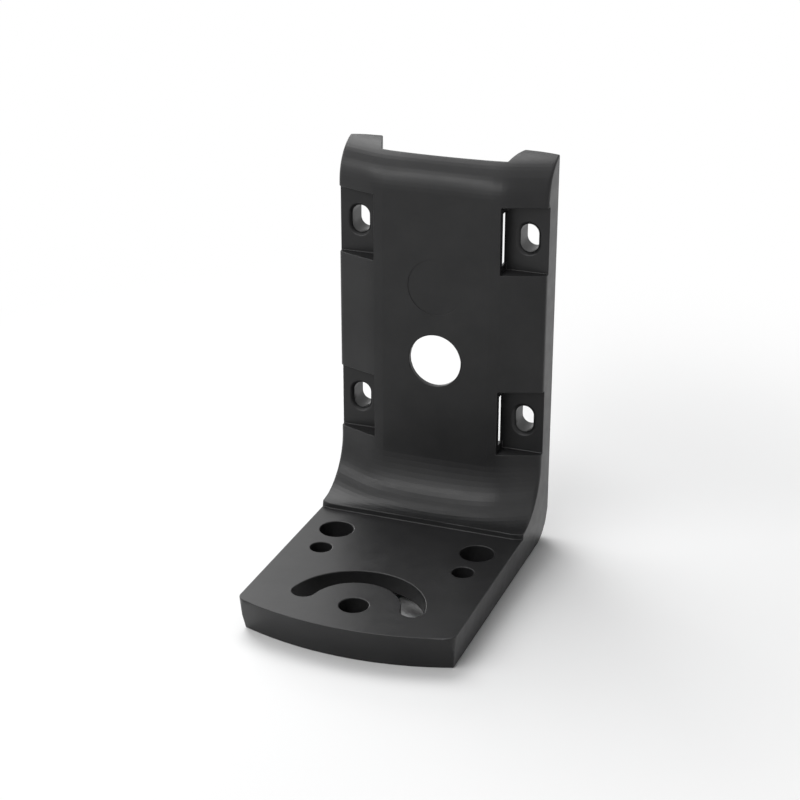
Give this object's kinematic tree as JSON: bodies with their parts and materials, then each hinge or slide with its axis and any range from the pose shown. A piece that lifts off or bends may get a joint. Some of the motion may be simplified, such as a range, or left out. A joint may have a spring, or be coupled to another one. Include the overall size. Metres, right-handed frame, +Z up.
{
  "type": "camera wall and pole mount",
  "caption": "Black cast L-shaped bracket that holds a camera on its shelf and fastens to a wall with screws or to a pole with straps.",
  "frame": {"origin": "middle of the bracket's width, in the wall plane, at the height of the shelf's lower rim", "axes": "+X across the bracket to the right as seen from the front, +Y out of the back into the wall, +Z up along the upright; the shelf points to -Y"},
  "size_m": [0.08, 0.1156, 0.1515],
  "materials": {
    "coated_casting": "fine black powder coat, satin, over die-cast aluminium"
  },
  "bodies": {
    "root": {"bracket": "coated_casting"}
  },
  "joints": []
}
